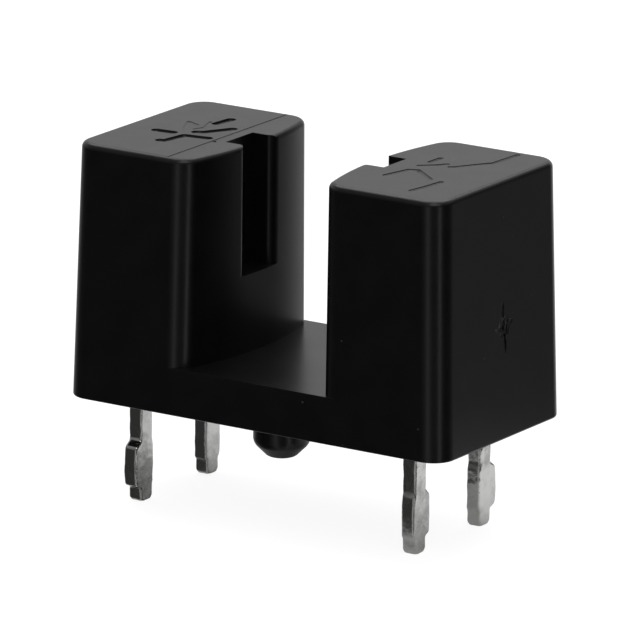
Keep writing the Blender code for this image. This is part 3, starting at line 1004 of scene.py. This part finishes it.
def casting(side):
    """A package of two drafted halves with its lens dome."""
    front = package_front(side)
    back = front + PACKAGE_THICKNESS
    middle = PACKAGE_FOOT + PACKAGE_HEIGHT / 2
    levels = [(front + deep, PACKAGE_DRAFT + inset) for deep, inset in PACKAGE_EDGE]
    levels += [(LEAD_X - 0.01, 0.0), (LEAD_X + 0.01, 0.0)]
    levels += [(back - deep, PACKAGE_DRAFT + inset) for deep, inset in reversed(PACKAGE_EDGE)]
    rings = []
    for x, inset in levels:
        outline = rounded_rectangle(PACKAGE_WIDTH / 2 - inset, PACKAGE_HEIGHT / 2 - inset,
                                    PACKAGE_CORNER_RADIUS)
        rings.append([(side * x, y, middle + z) for y, z in outline])
    package = loft("casting", rings)
    radius, rise = LENS[side]
    rim = lens_rim(side)
    dome = arc((0.0, rise - radius), radius, math.pi / 2, math.acos(rim / radius), 24)
    lens = turned("lens", [(0.0, rise), *dome[1:], (rim, -0.2), (0.0, -0.2)], 72)
    lens.rotation_euler = (0.0, -side * math.pi / 2, 0.0)
    lens.location = (side * front, 0.0, BEAM)
    return carve(package, [settle(lens)], "UNION")


def clear_resin(name, colour):
    """Clear cast resin with faint flow swirls and a matt skin where it left the mould."""
    material, tree = new_material(name)
    swirl = speckle(tree, millimetres(tree), 1.8, 3.0, 0.6)
    edge_mask = use(tree, edge_wear_and_highlight)["Mask"]
    tone = blend(tree, ramp(tree, swirl, 0.3, 0.7), opaque(colour), opaque(colour, 0.86))
    rough = plus(tree, 0.07, times(tree, swirl, 0.08))
    rough = plus(tree, rough, times(tree, edge_mask, 0.15))
    return finish(material, tone, rough, swirl, 0.004, Transmission_Weight=0.9, IOR=1.54)


def dark_resin(name, colour):
    """Resin that passes only infrared: near black, glossy, with a violet cast."""
    material, tree = new_material(name)
    swirl = speckle(tree, millimetres(tree), 2.4, 3.0, 0.6)
    edge_mask = use(tree, edge_wear_and_highlight)["Mask"]
    tone = blend(tree, ramp(tree, swirl, 0.3, 0.7), opaque(colour), (0.04, 0.015, 0.035, 1.0))
    # Edges lighter in colour: a painted highlight on the rounded edges.
    tone = blend(tree, times(tree, edge_mask, 0.4), tone, (0.08, 0.06, 0.08, 1.0))
    rough = plus(tree, 0.10, times(tree, swirl, 0.12))
    return finish(material, tone, rough, swirl, 0.003)


def build_packages(settings):
    finishes = {-1: ("clear_casting", clear_resin("Clear resin", tuple(settings.clear_resin))),
                1: ("dark_casting", dark_resin("Dark resin", tuple(settings.dark_resin)))}
    for side, (slot, material) in finishes.items():
        half = PREFIX[side]
        body = smooth(casting(side), 30.0)
        place(body, half + "_casting", half + "_package", [material])


def pad_face():
    return LEAD_X - LEAD_THICKNESS / 2


def die_back():
    return pad_face() - 2 * SEAT_GAP - ADHESIVE_THICKNESS


def fine_metal(name, colour, dull, spread=0.2, shade=0.8, scale=45.0, detail=3.0, metallic=1.0):
    """Metal, or polished silicon, with a fine grain in its colour, gloss and relief."""
    material, tree = new_material(name)
    grain = speckle(tree, millimetres(tree), scale, detail)
    tone = blend(tree, grain, opaque(colour), opaque(colour, shade))
    rough = plus(tree, dull, times(tree, grain, spread))
    return finish(material, tone, rough, grain, 0.001, Metallic=metallic)


def adhesive_finish():
    """Silver-filled adhesive: dull metal flakes in a binder."""
    material, tree = new_material("Silver adhesive")
    flakes = node(tree, "ShaderNodeTexVoronoi", feature="F1",
                  inputs={"Vector": millimetres(tree), "Scale": 70.0}).outputs["Color"]
    grey = node(tree, "ShaderNodeSeparateColor", inputs={0: flakes}).outputs[0]
    tone = blend(tree, grey, (0.42, 0.42, 0.40, 1.0), (0.66, 0.66, 0.64, 1.0))
    rough = ramp(tree, grey, 0.0, 1.0, 0.35, 0.6)
    return finish(material, tone, rough, grey, 0.002, Metallic=0.6)


def build_dies():
    die_skin = fine_metal("Die, polished", (0.16, 0.16, 0.20), 0.16, spread=0.15, shade=1.5,
                          scale=60.0, detail=2.0, metallic=0.5)
    contact = fine_metal("Die contact", (0.85, 0.80, 0.70), 0.2)
    glue = adhesive_finish()
    for side, half in PREFIX.items():
        size, height = DIE[side]
        centre = side * (die_back() - height / 2)
        body = block("die", (centre, 0.0, BEAM), (height, size, size), 0.012)
        body.data.materials.append(die_skin)
        top = side * (die_back() - height - 0.001)
        pad = block("contact", (top, size / 4, BEAM + size / 4), (0.006, size / 4, size / 4), 0.002)
        pad.data.materials.append(contact)
        ring = block("rim", (top, 0.0, BEAM - size * 0.36), (0.004, size * 0.8, size * 0.05), 0.001)
        ring.data.materials.append(contact)
        die = join(half + "_chip", [body, pad, ring])
        place(smooth(die), half + "_chip", half + "_die", None)
        film = side * (die_back() + SEAT_GAP + ADHESIVE_THICKNESS / 2)
        width = size + 2 * ADHESIVE_MARGIN
        glued = block("film", (film, 0.0, BEAM), (ADHESIVE_THICKNESS, width, width), 0.011, 3)
        place(smooth(glued, 60.0), half + "_adhesive_film", half + "_die_adhesive",
              [glue])


def build_wires():
    gold = fine_metal("Gold wire", (0.86, 0.64, 0.24), 0.12)
    for side, half in PREFIX.items():
        size, height = DIE[side]
        on_die = die_back() - height - SEAT_GAP - WIRE_RADIUS
        on_post = pad_face() - SEAT_GAP - WIRE_RADIUS
        start = Vector((side * on_die, size / 4, BEAM + size / 4))
        post_middle = (PAD_SIZE / 2 + INNER_GAP + LEAD_Y + LEAD_WIDTH / 2) / 2
        end = Vector((side * on_post, post_middle, BEAM + PAD_SIZE / 2 - POST_HEAD_HEIGHT / 2))
        lift = Vector((-side * WIRE_LOOP, 0.0, 0.0))
        path = []
        for i in range(41):
            share = i / 40
            path.append(start.lerp(end, share) + lift * math.sin(math.pi * share) ** 0.8)
        wire = tube("wire", path, WIRE_RADIUS * 0.9)
        ball = turned("ball", [(0.0, 0.03), (0.016, 0.026), (0.026, 0.012), (0.028, 0.0),
                               (0.026, -0.012), (0.0, -0.016)], 24)
        ball.rotation_euler = (0.0, -side * math.pi / 2, 0.0)
        ball.location = start
        whole = join(half + "_wire_loop", [wire, settle(ball)])
        place(smooth(whole, 60.0), half + "_wire_loop", half + "_bond_wire", [gold])


# Stage


def floor_material(colour):
    """Pale floor: white where it shows as background, and it keeps the object's shadow.

    Glossy rays see it only close to the object, and the surround beyond."""
    material, tree = new_material("Plain floor")
    tree.nodes.clear()
    place_m = node(tree, "ShaderNodeTexCoord").outputs["Object"]
    grain = speckle(tree, place_m, 900.0, 3.0)
    path = node(tree, "ShaderNodeLightPath").outputs
    shaded = blend(tree, path["Is Camera Ray"], opaque(colour), opaque(colour, FLOOR_SHADE))
    tone = blend(tree, times(tree, grain, 0.03), shaded, (0.5, 0.5, 0.5, 1.0))
    diffuse = node(tree, "ShaderNodeBsdfDiffuse", inputs={"Color": tone})
    seen = maths(tree, "MAXIMUM", path["Is Camera Ray"], path["Is Transmission Ray"])
    glow = plus(tree, times(tree, seen, FLOOR_GLOW),
                times(tree, path["Is Glossy Ray"], NEAR_FLOOR_GLOW))
    shown = node(tree, "ShaderNodeEmission",
                 inputs={"Color": (1.0, 1.0, 1.0, 1.0), "Strength": glow})
    both = node(tree, "ShaderNodeAddShader", inputs={0: diffuse.outputs[0], 1: shown.outputs[0]})
    offset = node(tree, "ShaderNodeVectorMath", operation="DISTANCE",
                  inputs={0: place_m, 1: tuple(c * MM for c in NEAR_FLOOR_CENTRE)}).outputs["Value"]
    far = ramp(tree, offset, (NEAR_FLOOR_RADIUS - NEAR_FLOOR_EDGE) * MM,
               (NEAR_FLOOR_RADIUS + NEAR_FLOOR_EDGE) * MM)
    away = times(tree, far, path["Is Glossy Ray"])
    clear = node(tree, "ShaderNodeBsdfTransparent")
    whole = node(tree, "ShaderNodeMixShader",
                 inputs={0: away, 1: both.outputs[0], 2: clear.outputs[0]})
    end = node(tree, "ShaderNodeOutputMaterial")
    link(tree, whole.outputs[0], end.inputs["Surface"])
    return material


def surround_ramp(tree, share, stops):
    made = node(tree, "ShaderNodeValToRGB", inputs={0: share})
    elements = made.color_ramp.elements
    elements[0].position = 0.0
    elements[1].position = 1.0
    for degrees, value in stops[1:-1]:
        elements.new((degrees + 180) / 360)
    for element, (degrees, value) in zip(elements, stops):
        element.color = (value, value, value, 1.0)
    return made.outputs["Color"]


def build_world(strength):
    """White to the camera; elsewhere bright behind the object and dark on the camera's side."""
    world = bpy.data.worlds.new("Studio surround")
    bpy.context.scene.world = world
    world.use_nodes = True
    tree = world.node_tree
    tree.nodes.clear()
    direction = node(tree, "ShaderNodeTexCoord").outputs["Generated"]
    axes = node(tree, "ShaderNodeSeparateXYZ", inputs={0: direction}).outputs
    turn = maths(tree, "ARCTAN2", axes[0], times(tree, axes[1], -1.0))
    share = plus(tree, maths(tree, "DIVIDE", turn, 2 * math.pi), 0.5)
    low = surround_ramp(tree, share, SURROUND_LOW)
    high = surround_ramp(tree, share, SURROUND_HIGH)
    tone = blend(tree, ramp(tree, axes[2], -0.05, 0.3), low, high)
    steep = surround_ramp(tree, share, SURROUND_TOP)
    tone = blend(tree, ramp(tree, axes[2], 0.42, 0.56), tone, steep)
    path = node(tree, "ShaderNodeLightPath").outputs["Is Camera Ray"]
    tone = blend(tree, path, tone, (1.0, 1.0, 1.0, 1.0))
    sky = node(tree, "ShaderNodeBackground", inputs={"Color": tone, "Strength": strength})
    end = node(tree, "ShaderNodeOutputWorld")
    link(tree, sky.outputs[0], end.inputs["Surface"])


def add_overhead():
    light = bpy.data.lights.new("overhead", "AREA")
    light.size = LIGHT_SIZE * MM
    light.energy = LIGHT_POWER
    item = add_object("overhead", light)
    item.location = Vector(LIGHT_PLACE) * MM
    aim = Vector(LIGHT_AIM) - Vector(LIGHT_PLACE)
    item.rotation_euler = aim.to_track_quat("-Z", "Y").to_euler()


def build_camera():
    """The photograph's viewpoint, from its azimuth, elevation, roll and distance."""
    turn, tilt, roll = (math.radians(a) for a in (CAMERA_AZIMUTH, CAMERA_ELEVATION, CAMERA_ROLL))
    right = Vector((math.cos(turn), math.sin(turn), 0.0))
    level = Vector((math.sin(turn), -math.cos(turn), 0.0))
    back = level * math.cos(tilt) + Vector((0.0, 0.0, math.sin(tilt)))
    up = back.cross(right)
    rolled_right = right * math.cos(roll) + up * math.sin(roll)
    rolled_up = up * math.cos(roll) - right * math.sin(roll)
    data = bpy.data.cameras.new("camera")
    data.sensor_width = SENSOR
    data.lens = PIXELS_PER_MM * CAMERA_DISTANCE / IMAGE_PIXELS * SENSOR
    data.shift_x = (IMAGE_PIXELS / 2 - TARGET_PIXEL[0]) / IMAGE_PIXELS
    data.shift_y = (TARGET_PIXEL[1] - IMAGE_PIXELS / 2) / IMAGE_PIXELS
    data.clip_start = 0.01
    data.clip_end = 10.0
    camera = add_object("camera", data)
    basis = Matrix((rolled_right, rolled_up, back)).transposed().to_4x4()
    spot = (Vector(CAMERA_TARGET) + back * CAMERA_DISTANCE) * MM
    camera.matrix_world = Matrix.Translation(spot) @ basis
    bpy.context.scene.camera = camera


def build_stage(settings):
    bm = bmesh.new()
    bmesh.ops.create_grid(bm, x_segments=8, y_segments=8, size=FLOOR_HALF * MM)
    floor = mesh_from("floor", bm)
    floor.data.materials.append(floor_material(tuple(settings.floor_colour)))
    build_world(settings.world_strength)
    add_overhead()
    build_camera()
    bpy.context.scene.view_settings.view_transform = "Standard"


# Operators


class SWITCH_OT_housing(bpy.types.Operator):
    """Build the moulded housing"""

    bl_idname = "switch.housing"
    bl_label = "Housing"

    def execute(self, context):
        build_housing(context.scene.switch_housing)
        return {"FINISHED"}


class SWITCH_OT_leads(bpy.types.Operator):
    """Build the four plated leads"""

    bl_idname = "switch.leads"
    bl_label = "Leads"

    def execute(self, context):
        build_leads(context.scene.switch_leads)
        return {"FINISHED"}


class SWITCH_OT_packages(bpy.types.Operator):
    """Build the two cast packages"""

    bl_idname = "switch.packages"
    bl_label = "Packages"

    def execute(self, context):
        build_packages(context.scene.switch_devices)
        return {"FINISHED"}


class SWITCH_OT_dies(bpy.types.Operator):
    """Build the two dies and their adhesive"""

    bl_idname = "switch.dies"
    bl_label = "Dies"

    def execute(self, context):
        build_dies()
        return {"FINISHED"}


class SWITCH_OT_wires(bpy.types.Operator):
    """Build the two bond wires"""

    bl_idname = "switch.wires"
    bl_label = "Bond wires"

    def execute(self, context):
        build_wires()
        return {"FINISHED"}


class SWITCH_OT_stage(bpy.types.Operator):
    """Build the floor, the light and the camera"""

    bl_idname = "switch.stage"
    bl_label = "Stage"

    def execute(self, context):
        build_stage(context.scene.switch_stage)
        return {"FINISHED"}


OPERATORS = (SWITCH_OT_housing, SWITCH_OT_leads, SWITCH_OT_packages, SWITCH_OT_dies,
             SWITCH_OT_wires, SWITCH_OT_stage)
SETTINGS = {
    "switch_housing": HousingSettings,
    "switch_leads": LeadSettings,
    "switch_devices": DeviceSettings,
    "switch_stage": StageSettings,
}


class SWITCH_PT_panel(bpy.types.Panel):
    """Pieces and settings of the switch"""

    bl_idname = "SWITCH_PT_panel"
    bl_label = "Slotted optical switch"
    bl_space_type = "VIEW_3D"
    bl_region_type = "UI"
    bl_category = "Switch"

    def draw(self, context):
        for name, group in SETTINGS.items():
            box = self.layout.box()
            for key in group.__annotations__:
                box.prop(getattr(context.scene, name), key)
        for operator in OPERATORS:
            self.layout.operator(operator.bl_idname)


CLASSES = (*SETTINGS.values(), *OPERATORS, SWITCH_PT_panel)


def register():
    for item in CLASSES:
        bpy.utils.register_class(item)
    for name, group in SETTINGS.items():
        setattr(bpy.types.Scene, name, PointerProperty(type=group))


def unregister():
    for name in SETTINGS:
        delattr(bpy.types.Scene, name)
    for item in reversed(CLASSES):
        bpy.utils.unregister_class(item)


def main():
    register()
    for operator in OPERATORS:
        getattr(bpy.ops.switch, operator.bl_idname.split(".")[1])()


if __name__ == "__main__":
    main()
